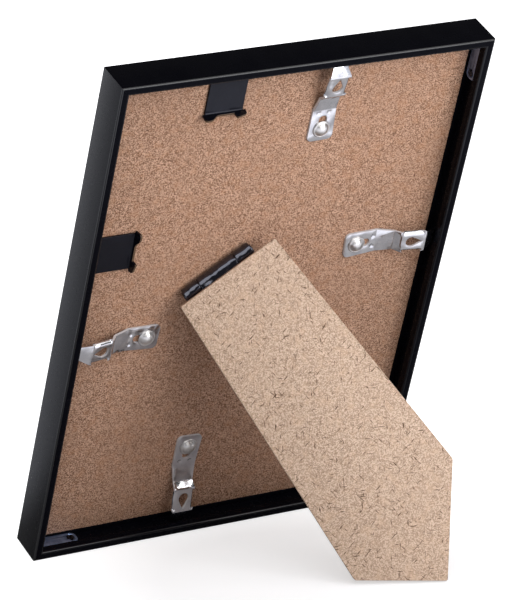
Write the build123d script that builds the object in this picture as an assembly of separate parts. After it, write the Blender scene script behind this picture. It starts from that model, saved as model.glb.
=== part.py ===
import os
from math import cos, radians, sin, sqrt, tan

from build123d import *

# picture size the frame is made for, and the pack behind the lip
INSERT_W = 130.0
INSERT_H = 180.0
GLASS_T = 1.5
SHEET_T = 0.2
BOARD_T = 2.0
EDGE_GAP = 0.3

# rail section, measured inward from the outer face and forward from the rear rim
SEAT_WALL = 2.9
OUTER_WALL = 1.3
BAND_W = 3.05
BAND_T = 3.15
LIP_W = 6.0
LIP_T = 1.3
CHANNEL_W = 5.15
EDGE_R = 0.45
BAND_R = 0.7

# corner angles and their grub screws
ANGLE_T = 1.3
ANGLE_W = 5.0
ANGLE_LEG = 17.2
ANGLE_BEND_R = 0.8
ANGLE_END_R = 2.0
SCREW_FROM_END = 2.4
SCREW_R = 1.25
SCREW_PROUD = 0.15
SCREW_SLOT_W = 0.45
SCREW_SLOT_DEPTH = 0.6

# turn clips, along the clip from the rivet and up from the board
SHEET_METAL = 0.8
RIVET_FROM_EDGE = {"top": 31.4, "right": 30.6, "bottom": 31.3, "left": 31.5}
RIVET_OFFSET = {"top": 13.5, "right": 12.5, "bottom": 11.7, "left": 12.2}
CLIP_BACK = 4.4
CLIP_BEND = 7.4
CLIP_RAMP_END = 13.4
CLIP_RAMP_RISE = 1.8
CLIP_TAB_START = 14.5
CLIP_TAB_RISE = 4.1
CLIP_TAB_END = 23.2
CLIP_TAB_TOP = 5.75
CLIP_TIP = 28.7
CLIP_TIP_TOP = 3.35
CLIP_BASE_W = 9.2
CLIP_BEND_W = 8.1
CLIP_RAMP_W = 7.3
CLIP_TAB_W = 7.6
CLIP_TIP_W = 3.2
CLIP_END_R = 2.4
CLIP_TIP_R = 0.9
CLIP_FLANGE_H = 1.0
CLIP_FLANGE_T = 0.7
SLOT_LENGTH = 3.5
RUN_CLEAR = 0.05
DIMPLE_AT = 6.2
DIMPLE_SPREAD = 3.9
DIMPLE_R = 0.75
DIMPLE_H = 0.35
TEAR_AT = 18.1
TEAR_R = 1.9
TEAR_POINT = 22.2
CLIP_SET = {"top": 1.7, "right": 3.8, "bottom": -2.2, "left": -2.7}

# clip rivets
DOME_R = 3.1
DOME_H = 1.9
SHANK_R = 1.5
HEAD_CLEAR = 0.05

# hangers, measured inward from the rail's outer face
HANGER_W = 13.7
HANGER_FREE = 19.4
HANGER_HOOK_GAP = 0.2
HANGER_HOOK_CLEAR = 0.3
LIP_ANGLE = 85.0
LIP_LENGTH = 2.5
LIP_EAR = 0.7
LIP_NOTCH_W = 6.5
LIP_NOTCH_DEPTH = 1.3
LIP_NOTCH_R = 0.6
LIP_NICK_R = 0.7
LIP_NICK_AT = 4.7
LIP_CORNER_R = 0.8
TOP_HANGER_AT = -24.8
LEFT_HANGER_AT = 24.2

# strut hinge: slanted axis, barrel and leaves
LEAN = 20.6
SIDE_LEAN = 19.4
OPENING = 40.5
AXIS_SLANT = 35.7
AXIS_U = -29.05
AXIS_V = 1.75
BARREL_R = 2.6
LEAF_T = 0.8
PIN_R = 1.2
PIN_PROUD = 0.4
HINGE_W = 26.5
HINGE_CENTRE_SHARE = 0.44
KNUCKLE_SHARES = (0.226, 0.766)
KNUCKLE_GAP = 0.1
LEAF_LENGTH = 19.0
LEAF_RELIEF = 0.5
LEAF_CORNER_R = 2.5
TACK_HEAD_R = 1.7
TACK_HEAD_H = 0.8
TACK_SHANK_R = 0.9
TACK_DEPTH = 1.5
TACK_INSET = 4.5
TACK_NEAR = 6.5
TACK_FAR = 14.5

# strut panel
STRUT_T = 2.5
STRUT_TOP_W = 37.6
STRUT_START = 1.3
STRUT_FLARE = 3.3
STRUT_CORNER_R = 0.6
HEEL_LIFT = 1.68

# sizes that follow from the ones above
OUTER_W = INSERT_W + 2 * (EDGE_GAP + SEAT_WALL)
OUTER_H = INSERT_H + 2 * (EDGE_GAP + SEAT_WALL)
BOARD_RECESS = BAND_T + CHANNEL_W
DEPTH = BOARD_RECESS + BOARD_T + SHEET_T + GLASS_T + LIP_T
HALF_W = OUTER_W / 2
HALF_H = OUTER_H / 2
BOARD_FACE = -BOARD_RECESS
BARREL_START = HINGE_CENTRE_SHARE * STRUT_TOP_W - HINGE_W / 2
BARREL_END = BARREL_START + HINGE_W
KNUCKLE_1, KNUCKLE_2 = (BARREL_START + share * HINGE_W for share in KNUCKLE_SHARES)
PARTS = "parts"


def sheet_outline(line, thickness):
    """Close a bent sheet's side view: the given line and its parallel on the right-hand side."""
    normals = []
    for (x0, y0), (x1, y1) in zip(line, line[1:]):
        run = sqrt((x1 - x0) ** 2 + (y1 - y0) ** 2)
        normals.append(((y1 - y0) / run, (x0 - x1) / run))
    other = []
    for i, (x, y) in enumerate(line):
        a = normals[max(i - 1, 0)]
        b = normals[min(i, len(normals) - 1)]
        share = thickness / (1 + a[0] * b[0] + a[1] * b[1])
        other.append((x + share * (a[0] + b[0]), y + share * (a[1] + b[1])))
    return line + other[::-1]


def polygon(points):
    """Flat face through the points."""
    return make_face(Polyline(*points, close=True))


def rail_section():
    """Moulding section: x inward from the outer face, y rearward from the rim."""
    front = -DEPTH
    face = polygon([
        (0, front), (LIP_W, front), (LIP_W, front + LIP_T), (SEAT_WALL, front + LIP_T),
        (SEAT_WALL, BOARD_FACE), (OUTER_WALL, BOARD_FACE), (OUTER_WALL, -BAND_T),
        (BAND_W, -BAND_T), (BAND_W, 0), (0, 0),
    ])
    outer = [v for v in face.vertices() if abs(v.X) < EDGE_R or abs(v.Y - front) < EDGE_R]
    face = fillet(outer, EDGE_R)
    inner = [v for v in face.vertices() if abs(v.X - BAND_W) < EDGE_R and abs(v.Y) < EDGE_R]
    return fillet(inner, BAND_R)


def rail(corner, inward, length):
    """One mitred rail, from a corner along the rail's own direction."""
    bar = extrude(rail_section(), length)
    bar = split(bar, bisect_by=Plane((0, 0, 0), z_dir=(-1, 0, 1)), keep=Keep.TOP)
    bar = split(bar, bisect_by=Plane((0, 0, length), z_dir=(-1, 0, -1)), keep=Keep.TOP)
    run = Vector(*inward).cross(Vector(0, 0, 1))
    return Plane(corner, x_dir=inward, z_dir=run).location * bar


def corner_angle():
    """Bent strip of one corner, with its outer corner at the origin, and its two grub screws."""
    bend = polygon([
        (0, 0), (ANGLE_LEG, 0), (ANGLE_LEG, ANGLE_T), (ANGLE_T, ANGLE_T), (ANGLE_T, ANGLE_LEG), (0, ANGLE_LEG),
    ])
    knee = [v for v in bend.vertices() if v.X < ANGLE_END_R * 2 and v.Y < ANGLE_END_R * 2 and abs(v.X - v.Y) < EDGE_R]
    bend = fillet(knee, ANGLE_BEND_R)
    strip = extrude(bend, ANGLE_W)
    ends = [e for e in strip.edges() if max(e.center().X, e.center().Y) > ANGLE_LEG - EDGE_R
            and e.length < ANGLE_T + EDGE_R and min(e.center().X, e.center().Y) > 0
            and abs(e.center().Z - ANGLE_W / 2) > EDGE_R]
    strip = fillet(ends, ANGLE_END_R)
    at = ANGLE_LEG - SCREW_FROM_END
    seats = [
        Plane((at, 0, ANGLE_W / 2), x_dir=(1, 0, 0), z_dir=(0, 1, 0)),
        Plane((0, at, ANGLE_W / 2), x_dir=(0, 1, 0), z_dir=(1, 0, 0)),
    ]
    screws = []
    for seat in seats:
        hole = seat.location * extrude(Circle(SCREW_R), ANGLE_T)
        strip = strip - hole
        screws.append(seat.location * grub_screw())
    return strip, screws


def grub_screw():
    """Slotted grub screw standing on the rail wall."""
    height = ANGLE_T + SCREW_PROUD
    body = extrude(Circle(SCREW_R), height)
    slot = Pos(0, 0, height - SCREW_SLOT_DEPTH / 2) * Box(SCREW_SLOT_W, 2 * SCREW_R, SCREW_SLOT_DEPTH)
    return body - slot


def corner_place(side_u, side_v):
    """Where a corner angle sits: mirrored into each of the four corners by turning."""
    corner = (side_u * (HALF_W - OUTER_WALL), side_v * (HALF_H - OUTER_WALL),
              BOARD_FACE + (CHANNEL_W - ANGLE_W) / 2)
    x_dir = (-side_u, 0, 0) if side_u * side_v > 0 else (0, -side_v, 0)
    return Plane(corner, x_dir=x_dir, z_dir=(0, 0, 1)).location


def clip_plan():
    """Outline of the clip from above: rounded base, narrower tab and tapering tip."""
    base, tab, tip = CLIP_BASE_W / 2, CLIP_TAB_W / 2, CLIP_TIP_W / 2
    half = [(-CLIP_BACK, base), (CLIP_BEND, CLIP_BEND_W / 2), (CLIP_RAMP_END, CLIP_RAMP_W / 2),
            (CLIP_TAB_START, tab), (CLIP_TAB_END, tab), (CLIP_TIP, tip)]
    face = polygon(half + [(x, -y) for x, y in half[::-1]])
    back = [v for v in face.vertices() if v.X < -CLIP_BACK + CLIP_TIP_R]
    face = fillet(back, CLIP_END_R)
    nose = [v for v in face.vertices() if v.X > CLIP_TIP - CLIP_TIP_R / 2]
    return fillet(nose, CLIP_TIP_R)


def clip_flange(side):
    """Turned-down edge along one side of the tab."""
    drop = SHEET_METAL + CLIP_FLANGE_H
    edge = polygon([
        (CLIP_TAB_START, CLIP_TAB_RISE + SHEET_METAL), (CLIP_TAB_END, CLIP_TAB_TOP + SHEET_METAL),
        (CLIP_TAB_END, CLIP_TAB_TOP + SHEET_METAL - drop), (CLIP_TAB_START, CLIP_TAB_RISE + SHEET_METAL - drop),
    ])
    outer = side * CLIP_TAB_W / 2 if side < 0 else CLIP_TAB_W / 2 - CLIP_FLANGE_T
    return Plane((0, outer + CLIP_FLANGE_T, 0), x_dir=(1, 0, 0), z_dir=(0, -1, 0)).location * extrude(
        edge, CLIP_FLANGE_T)


def teardrop():
    """Hole in the tab: round toward the rivet and pointed toward the rail."""
    reach = TEAR_POINT - TEAR_AT
    touch_x = TEAR_R ** 2 / reach
    touch_y = TEAR_R * sqrt(1 - (TEAR_R / reach) ** 2)
    point = polygon([(TEAR_AT, 0), (TEAR_AT + touch_x, touch_y), (TEAR_POINT, 0), (TEAR_AT + touch_x, -touch_y)])
    return extrude(Pos(TEAR_AT, 0) * Circle(TEAR_R) + point, 2 * CLIP_TAB_TOP)


def turn_clip():
    """Bent sheet clip with its rivet at the origin, lying on the board and pointing along x."""
    t = SHEET_METAL
    line = [(-CLIP_BACK, t), (CLIP_BEND, t), (CLIP_RAMP_END, CLIP_RAMP_RISE + t),
            (CLIP_TAB_START, CLIP_TAB_RISE + t), (CLIP_TAB_END, CLIP_TAB_TOP + t), (CLIP_TIP, CLIP_TIP_TOP + t)]
    side = polygon(sheet_outline(line, t))
    across = Plane((0, CLIP_BASE_W / 2, 0), x_dir=(1, 0, 0), z_dir=(0, -1, 0))
    body = across.location * extrude(side, CLIP_BASE_W)
    body = body & extrude(clip_plan(), 2 * CLIP_TAB_TOP)
    body = body + clip_flange(1) + clip_flange(-1)
    slot = Pos(SLOT_LENGTH / 2, 0) * SlotCenterToCenter(SLOT_LENGTH, 2 * (SHANK_R + RUN_CLEAR))
    body = body - extrude(slot, 2 * t) - teardrop()
    ball = (DIMPLE_R ** 2 + DIMPLE_H ** 2) / (2 * DIMPLE_H)
    for y in (-DIMPLE_SPREAD / 2, DIMPLE_SPREAD / 2):
        bump = Pos(0, 0, DIMPLE_H - ball) * Sphere(ball) & extrude(Circle(DIMPLE_R), DIMPLE_H)
        body = body + Pos(DIMPLE_AT, y, t) * bump
    return body


def dome_rivet():
    """Dome head over the clip, with the shank through clip and board."""
    ball = (DOME_R ** 2 + DOME_H ** 2) / (2 * DOME_H)
    head = Pos(0, 0, DOME_H - ball) * Sphere(ball) & extrude(Circle(DOME_R), DOME_H)
    grip = HEAD_CLEAR + SHEET_METAL + BOARD_T
    shank = Pos(0, 0, -grip) * extrude(Circle(SHANK_R), grip)
    return Pos(0, 0, SHEET_METAL + HEAD_CLEAR) * (head + shank)


CLIPS = {
    "top": ((RIVET_OFFSET["top"], HALF_H - RIVET_FROM_EDGE["top"]), 90),
    "right": ((HALF_W - RIVET_FROM_EDGE["right"], RIVET_OFFSET["right"]), 0),
    "bottom": ((-RIVET_OFFSET["bottom"], RIVET_FROM_EDGE["bottom"] - HALF_H), 270),
    "left": ((RIVET_FROM_EDGE["left"] - HALF_W, -RIVET_OFFSET["left"]), 180),
}


def clip_place(side):
    """Where a clip's rivet is, turned toward its rail."""
    (u, v), turn = CLIPS[side]
    return Pos(u, v, BOARD_FACE) * Rot(0, 0, turn + CLIP_SET[side])


def hanger():
    """Sheet hanger: hook in the rail channel at x near zero, plate on the board, toothed lip at the free end."""
    t = SHEET_METAL
    hook = OUTER_WALL + HANGER_HOOK_GAP + t
    lip = (cos(radians(LIP_ANGLE)), sin(radians(LIP_ANGLE)))
    line = [(hook, CHANNEL_W - HANGER_HOOK_CLEAR), (hook, t), (HANGER_FREE, t),
            (HANGER_FREE + LIP_LENGTH * lip[0], t + LIP_LENGTH * lip[1])]
    side = polygon(sheet_outline(line, t))
    width = HANGER_W + 2 * LIP_EAR
    plate = Plane((0, width / 2, 0), x_dir=(1, 0, 0), z_dir=(0, -1, 0)).location * extrude(side, width)
    for y in (-1, 1):
        trim = Pos(HANGER_FREE / 2, y * (width - LIP_EAR) / 2, CHANNEL_W / 2) * Box(HANGER_FREE, LIP_EAR, CHANNEL_W)
        plate = plate - trim
    corners = [e for e in plate.edges() if abs(abs(e.center().Y) - width / 2) < EDGE_R / 2
               and e.center().Z > LIP_LENGTH and e.length < t + EDGE_R]
    plate = fillet(corners, LIP_CORNER_R)
    tip = Plane((line[-1][0], 0, line[-1][1]), x_dir=(0, 1, 0), z_dir=(lip[1], 0, -lip[0])).location
    notch = fillet(Rectangle(LIP_NOTCH_W, 2 * LIP_NOTCH_DEPTH).vertices(), LIP_NOTCH_R)
    nick = Pos(LIP_NICK_AT, 0) * Circle(LIP_NICK_R)
    return plate - tip * extrude(notch + nick, LIP_LENGTH, both=True)


def hinge_frame():
    """Board-side hinge frame: x along the axis, y away from the strut, z rearward, on the board face."""
    slant = radians(AXIS_SLANT)
    return Plane((AXIS_U, AXIS_V, BOARD_FACE), x_dir=(cos(slant), sin(slant), 0), z_dir=(0, 0, 1)).location


def strut_frame():
    """Strut-side hinge frame on the pin's axis, opened by the strut's angle."""
    return hinge_frame() * Pos(0, 0, BARREL_R) * Rot(-OPENING, 0, 0)


def barrel(start, end, bore):
    """Hinge knuckle between two places along the axis."""
    ring = Circle(BARREL_R) - Circle(bore)
    return Plane((start, 0, 0), x_dir=(0, 1, 0), z_dir=(1, 0, 0)).location * extrude(ring, end - start)


def leaf_plate(low):
    """Flat leaf on the strut's side of the axis, with rounded far corners."""
    width = BARREL_END - BARREL_START
    plate = Pos((BARREL_START + BARREL_END) / 2, -LEAF_LENGTH / 2, low + LEAF_T / 2) * Box(width, LEAF_LENGTH, LEAF_T)
    far = [e for e in plate.edges().filter_by(Axis.Z) if e.center().Y < -LEAF_LENGTH / 2]
    return fillet(far, LEAF_CORNER_R)


def relief(start, end):
    """Clearance in a leaf for the other leaf's knuckle."""
    reach = BARREL_R + LEAF_RELIEF
    return Pos((start + end) / 2, 0, 0) * Box(end - start, 2 * reach, 4 * BARREL_R)


def tack_places():
    """Fastener places on a leaf."""
    middle = (BARREL_START + BARREL_END) / 2
    return [(BARREL_START + TACK_INSET, -TACK_NEAR), (BARREL_END - TACK_INSET, -TACK_NEAR), (middle, -TACK_FAR)]


def board_leaf():
    """Leaf riveted to the board, with the two outer knuckles."""
    plate = leaf_plate(0) - relief(KNUCKLE_1 - KNUCKLE_GAP, KNUCKLE_2 + KNUCKLE_GAP)
    lift = Pos(0, 0, BARREL_R)
    bore = extrude(Circle(PIN_R), BARREL_END - BARREL_START)
    core = lift * Plane((BARREL_START, 0, 0), x_dir=(0, 1, 0), z_dir=(1, 0, 0)).location * bore
    leaf = plate + lift * barrel(BARREL_START, KNUCKLE_1 - KNUCKLE_GAP, PIN_R)
    leaf = leaf + lift * barrel(KNUCKLE_2 + KNUCKLE_GAP, BARREL_END, PIN_R) - core
    for x, y in tack_places():
        leaf = leaf - Pos(x, y, 0) * extrude(Circle(TACK_SHANK_R), LEAF_T)
    return leaf


def strut_leaf():
    """Leaf under the strut, with the middle knuckle."""
    plate = leaf_plate(BARREL_R - LEAF_T)
    plate = plate - relief(BARREL_START, KNUCKLE_1) - relief(KNUCKLE_2, BARREL_END)
    bore = PIN_R + RUN_CLEAR
    core = Plane((KNUCKLE_1, 0, 0), x_dir=(0, 1, 0), z_dir=(1, 0, 0)).location * extrude(
        Circle(bore), KNUCKLE_2 - KNUCKLE_1)
    leaf = plate + barrel(KNUCKLE_1, KNUCKLE_2, bore) - core
    for x, y in tack_places():
        leaf = leaf - Pos(x, y, BARREL_R - LEAF_T) * extrude(Circle(TACK_SHANK_R), LEAF_T)
    return leaf


def hinge_pin():
    """Pin through the three knuckles."""
    length = BARREL_END - BARREL_START + 2 * PIN_PROUD
    start = (BARREL_START - PIN_PROUD, 0, BARREL_R)
    pin = extrude(Circle(PIN_R), length)
    pin = chamfer(pin.edges().filter_by(GeomType.CIRCLE), PIN_PROUD / 2)
    return Plane(start, x_dir=(0, 1, 0), z_dir=(1, 0, 0)).location * pin


def board_tacks():
    """Rivets of the board leaf, flush with the board's front."""
    tacks = []
    for x, y in tack_places():
        head = Pos(x, y, LEAF_T) * extrude(Circle(TACK_HEAD_R), TACK_HEAD_H)
        shank = Pos(x, y, -BOARD_T) * extrude(Circle(TACK_SHANK_R), BOARD_T + LEAF_T)
        tacks.append(fillet(head.edges().group_by(Axis.Z)[-1], TACK_HEAD_H / 2) + shank)
    return tacks


def strut_tacks():
    """Tacks of the strut leaf, driven up into the strut."""
    tacks = []
    under = BARREL_R - LEAF_T
    for x, y in tack_places():
        head = Pos(x, y, under - TACK_HEAD_H) * extrude(Circle(TACK_HEAD_R), TACK_HEAD_H)
        shank = Pos(x, y, under) * extrude(Circle(TACK_SHANK_R), LEAF_T + TACK_DEPTH)
        tacks.append(fillet(head.edges().group_by(Axis.Z)[0], TACK_HEAD_H / 2) + shank)
    return tacks


def foot_line(start, slope, half, lean):
    """Line where the strut meets the ground: length along the strut at its left side, and change per mm across."""
    lean, opening = radians(lean), radians(OPENING)
    level = half * cos(lean) - EDGE_R * (cos(lean) + sin(lean) - 1)
    height = BOARD_FACE + BARREL_R + BARREL_R * cos(opening)
    fall = cos(opening) * slope[1] * cos(lean) + sin(opening) * sin(lean)
    first = (start + BARREL_R * sin(opening) * slope[1]) * cos(lean) - height * sin(lean) + level
    return first / fall, slope[0] * cos(lean) / fall


def strut_outline():
    """Strut corners, x across and y along: the toe stands on the ground, frame upright or on its side."""
    slant, flare = radians(AXIS_SLANT), tan(radians(STRUT_FLARE))
    tall, tall_step = foot_line(AXIS_V, (sin(slant), cos(slant)), HALF_H, LEAN)
    wide, wide_step = foot_line(-AXIS_U, (-cos(slant), sin(slant)), HALF_W, SIDE_LEAN)
    left = tall / (1 + tall_step * flare) - HEEL_LIFT
    right = (wide + wide_step * STRUT_TOP_W) / (1 - wide_step * flare) - HEEL_LIFT
    toe = (wide - tall) / (tall_step - wide_step)
    return [
        (-STRUT_START * flare, -STRUT_START), (STRUT_TOP_W + STRUT_START * flare, -STRUT_START),
        (STRUT_TOP_W + right * flare, -right), (toe, -(tall + tall_step * toe)), (-left * flare, -left),
    ]


def strut_panel():
    """Hardboard strut on the back of its leaf, with blind tack holes."""
    panel = Pos(0, 0, BARREL_R) * extrude(polygon(strut_outline()), STRUT_T)
    panel = fillet(panel.edges().filter_by(Axis.Z), STRUT_CORNER_R)
    for x, y in tack_places():
        panel = panel - Pos(x, y, BARREL_R) * extrude(Circle(TACK_SHANK_R), TACK_DEPTH)
    return panel


def backing_board():
    """Hardboard back with holes for the clip rivets and the hinge rivets."""
    low = BOARD_FACE - BOARD_T
    board = Pos(0, 0, low + BOARD_T / 2) * Box(INSERT_W, INSERT_H, BOARD_T)
    for (u, v), _ in CLIPS.values():
        board = board - Pos(u, v, low) * extrude(Circle(SHANK_R), BOARD_T)
    for x, y in tack_places():
        board = board - hinge_frame() * Pos(x, y, -BOARD_T) * extrude(Circle(TACK_SHANK_R), BOARD_T)
    return board


def layer(low, thickness):
    """Flat sheet of the picture size."""
    return Pos(0, 0, low + thickness / 2) * Box(INSERT_W, INSERT_H, thickness)


def pieces():
    """Every node in the frame's own axes: u to the right seen from behind, v up, n rearward."""
    nodes = {
        "rail_bottom": rail((-HALF_W, -HALF_H, 0), (0, 1, 0), OUTER_W),
        "rail_right": rail((HALF_W, -HALF_H, 0), (-1, 0, 0), OUTER_H),
        "rail_top": rail((HALF_W, HALF_H, 0), (0, -1, 0), OUTER_W),
        "rail_left": rail((-HALF_W, HALF_H, 0), (1, 0, 0), OUTER_H),
    }
    strip, screws = corner_angle()
    for name, u, v in (("bottom_left", -1, -1), ("bottom_right", 1, -1), ("top_right", 1, 1), ("top_left", -1, 1)):
        place = corner_place(u, v)
        nodes["corner_angle_" + name] = place * strip
        nodes["corner_screws_" + name] = Compound([place * s for s in screws])
    glass_low = BOARD_FACE - BOARD_T - SHEET_T - GLASS_T
    nodes["glass_pane"] = layer(glass_low, GLASS_T)
    nodes["picture_sheet"] = layer(glass_low + GLASS_T, SHEET_T)
    nodes["backing_board"] = backing_board()
    for side in CLIPS:
        nodes["turn_clip_" + side] = clip_place(side) * turn_clip()
        nodes["clip_rivet_" + side] = clip_place(side) * dome_rivet()
    nodes["hanger_top"] = Pos(TOP_HANGER_AT, HALF_H, BOARD_FACE) * Rot(0, 0, -90) * hanger()
    nodes["hanger_left"] = Pos(-HALF_W, LEFT_HANGER_AT, BOARD_FACE) * hanger()
    nodes["hinge_board_leaf"] = hinge_frame() * board_leaf()
    nodes["hinge_pin"] = hinge_frame() * hinge_pin()
    nodes["hinge_rivets"] = Compound([hinge_frame() * t for t in board_tacks()])
    nodes["hinge_strut_leaf"] = strut_frame() * strut_leaf()
    nodes["strut_tacks"] = Compound([strut_frame() * t for t in strut_tacks()])
    nodes["strut_panel"] = strut_frame() * strut_panel()
    return nodes


def stand(nodes):
    """Lean the frame back on its rear bottom edge and strut, and centre it over the origin."""
    lean = radians(LEAN)
    tilt = Plane((0, 0, 0), x_dir=(-1, 0, 0), z_dir=(0, cos(lean), -sin(lean))).location
    leaning = {name: tilt * shape for name, shape in nodes.items()}
    box = Compound([s for shape in leaning.values() for s in shape.solids()]).bounding_box()
    shift = Pos(-(box.min.X + box.max.X) / 2, -(box.min.Y + box.max.Y) / 2, -box.min.Z)
    return {name: shift * shape for name, shape in leaning.items()}


os.makedirs(PARTS, exist_ok=True)
for name, shape in stand(pieces()).items():
    export_step(shape, os.path.join(PARTS, name + ".step"))
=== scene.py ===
import bpy
import bmesh
from math import asin, atan2, cos, hypot, pi, radians, sin, sqrt, tan
from mathutils import Matrix, Vector


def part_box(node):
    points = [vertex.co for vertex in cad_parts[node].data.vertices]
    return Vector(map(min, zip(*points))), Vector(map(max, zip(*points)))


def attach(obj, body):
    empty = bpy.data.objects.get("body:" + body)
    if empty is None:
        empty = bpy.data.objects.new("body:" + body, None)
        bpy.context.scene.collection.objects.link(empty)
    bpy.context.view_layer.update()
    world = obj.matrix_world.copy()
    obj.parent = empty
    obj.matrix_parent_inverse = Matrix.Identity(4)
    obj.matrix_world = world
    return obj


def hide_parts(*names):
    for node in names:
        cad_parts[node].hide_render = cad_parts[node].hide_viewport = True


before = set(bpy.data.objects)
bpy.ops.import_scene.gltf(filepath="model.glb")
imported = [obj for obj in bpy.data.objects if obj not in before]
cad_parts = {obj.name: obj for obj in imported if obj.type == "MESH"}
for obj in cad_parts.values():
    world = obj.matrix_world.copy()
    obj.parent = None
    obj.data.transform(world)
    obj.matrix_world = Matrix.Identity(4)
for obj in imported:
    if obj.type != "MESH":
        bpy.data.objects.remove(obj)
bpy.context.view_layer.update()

# Rails: four lengths of one slim aluminium moulding, with a front lip, a rebate for glass and board, a
# channel behind the board and a narrow rear band. They are lacquered satin black, mitred at both ends
# and drawn together at the corners by angles that lie in the channel.
MM = 0.001
LEAN = radians(20.6)
HALF_W, HALF_H = 68.2, 93.2
RAIL_DEPTH = 13.3
LIP_W, LIP_T = 6.0, 1.3
SEAT_WALL, OUTER_WALL = 2.9, 1.3
BAND_W, BAND_T = 3.05, 3.15
BOARD_FACE = -8.3
BOARD_T, SHEET_T, GLASS_T = 2.0, 0.2, 1.5
REAR_EDGE_R, FRONT_EDGE_R, BAND_EDGE_R, INNER_EDGE_R = 0.55, 0.45, 0.7, 0.15
MITRE_GAP = 0.02
RAIL_OVERCUT = 2.0
RAIL_SECTION = (
    (0, -RAIL_DEPTH), (LIP_W, -RAIL_DEPTH), (LIP_W, LIP_T - RAIL_DEPTH), (SEAT_WALL, LIP_T - RAIL_DEPTH),
    (SEAT_WALL, BOARD_FACE), (OUTER_WALL, BOARD_FACE), (OUTER_WALL, -BAND_T), (BAND_W, -BAND_T),
    (BAND_W, 0), (0, 0),
)
REAR_GLOSS, BAND_GLOSS, OUTER_GLOSS = 0.8, 0.4, 0.12
RAIL_ROUNDS = (
    (FRONT_EDGE_R, 0, (0, -RAIL_DEPTH), (LIP_W, -RAIL_DEPTH)),
    (REAR_EDGE_R, REAR_GLOSS, (0, 0)), (BAND_EDGE_R, BAND_GLOSS, (BAND_W, 0)),
    (INNER_EDGE_R, 0, (LIP_W, LIP_T - RAIL_DEPTH), (SEAT_WALL, BOARD_FACE), (BAND_W, -BAND_T)),
)

# Pieces are drawn in millimetres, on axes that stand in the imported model: right and up as seen from
# behind, and rearward from the rim's middle. The middle of the glass gives their place.
RIGHT = Vector((-1, 0, 0))
UP = Vector((0, sin(LEAN), cos(LEAN)))
REAR = Vector((0, cos(LEAN), -sin(LEAN)))
glass_low, glass_high = (Vector(corner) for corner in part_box("glass_pane"))
glass_depth = BOARD_FACE - BOARD_T - SHEET_T - GLASS_T / 2
rim_middle = (glass_low + glass_high) / 2 - REAR * glass_depth * MM
STAND = Matrix.Translation(rim_middle) @ Matrix((RIGHT * MM, UP * MM, REAR * MM)).transposed().to_4x4()


def tint(red, green, blue):
    """Colour as seen on a screen, 0 to 255, in the linear values that the shaders take."""
    parts = (red, green, blue)
    linear = [((part / 255 + 0.055) / 1.055) ** 2.4 if part > 10 else part / 3294 for part in parts]
    return (*linear, 1)


def feed(node, sockets):
    """Set or link the sockets of a shader node."""
    for socket, value in sockets.items():
        if isinstance(value, bpy.types.NodeSocket):
            node.id_data.links.new(value, node.inputs[socket])
        else:
            node.inputs[socket].default_value = value


def add(tree, kind, sockets=None, **options):
    """One shader node with its options, and its sockets set or linked."""
    node = tree.nodes.new("ShaderNode" + kind)
    for option, value in options.items():
        setattr(node, option, value)
    feed(node, sockets or {})
    return node


def reckon(tree, operation, *values):
    """Result of one sum on values or value sockets."""
    return add(tree, "Math", dict(enumerate(values)), operation=operation).outputs[0]


def spread(tree, value, source=(0.0, 1.0), result=(0.0, 1.0)):
    """Value carried from one range to another and held at the ends."""
    ends = {"From Min": source[0], "From Max": source[1], "To Min": result[0], "To Max": result[1]}
    return add(tree, "MapRange", {"Value": value, **ends}).outputs["Result"]


def blend_colour(tree, share, first, second):
    """Mix of two colours or colour sockets by a share."""
    return add(tree, "Mix", {0: share, 6: first, 7: second}, data_type="RGBA").outputs[2]


NOISE_ROUGHNESS = 0.6


def cloud(tree, place, scale, low=0.0, high=1.0, detail=3.0, stretch=None, turn=0.0, clip=(0.3, 0.7)):
    """Soft noise on the piece, with a scale per millimetre, spread between two values."""
    if stretch:
        mapping = {"Vector": place, "Rotation": (0, 0, radians(turn)), "Scale": stretch}
        place = add(tree, "Mapping", mapping, vector_type="TEXTURE").outputs[0]
    noise = {"Vector": place, "Scale": scale, "Detail": detail, "Roughness": NOISE_ROUGHNESS}
    return spread(tree, add(tree, "TexNoise", noise).outputs["Fac"], clip, (low, high))


def bumpy(tree, height, strength, depth, under=None):
    """Normal of a skin with bumps of a depth in metres, over another such skin where one is given."""
    skin = add(tree, "Bump", {"Height": height, "Strength": strength, "Distance": depth})
    if under is not None:
        feed(skin, {"Normal": under})
    return skin.outputs["Normal"]


def marked(tree):
    """How far each face is marked as an edge."""
    return add(tree, "Attribute", attribute_name="arris").outputs["Fac"]


def bare_finish(name):
    """New material, with its tree, its shader and the place on the piece in millimetres."""
    finish = bpy.data.materials.new(name)
    finish.use_nodes = True
    tree = finish.node_tree
    place = add(tree, "Attribute", attribute_name="drawn").outputs["Vector"]
    return finish, tree, tree.nodes["Principled BSDF"], place


COOL_GLOSS = (0.82, 0.84, 1.0, 1)
DUST_GREY = tint(92, 90, 92)
POLISH_ROUGHNESS = 0.12


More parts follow.
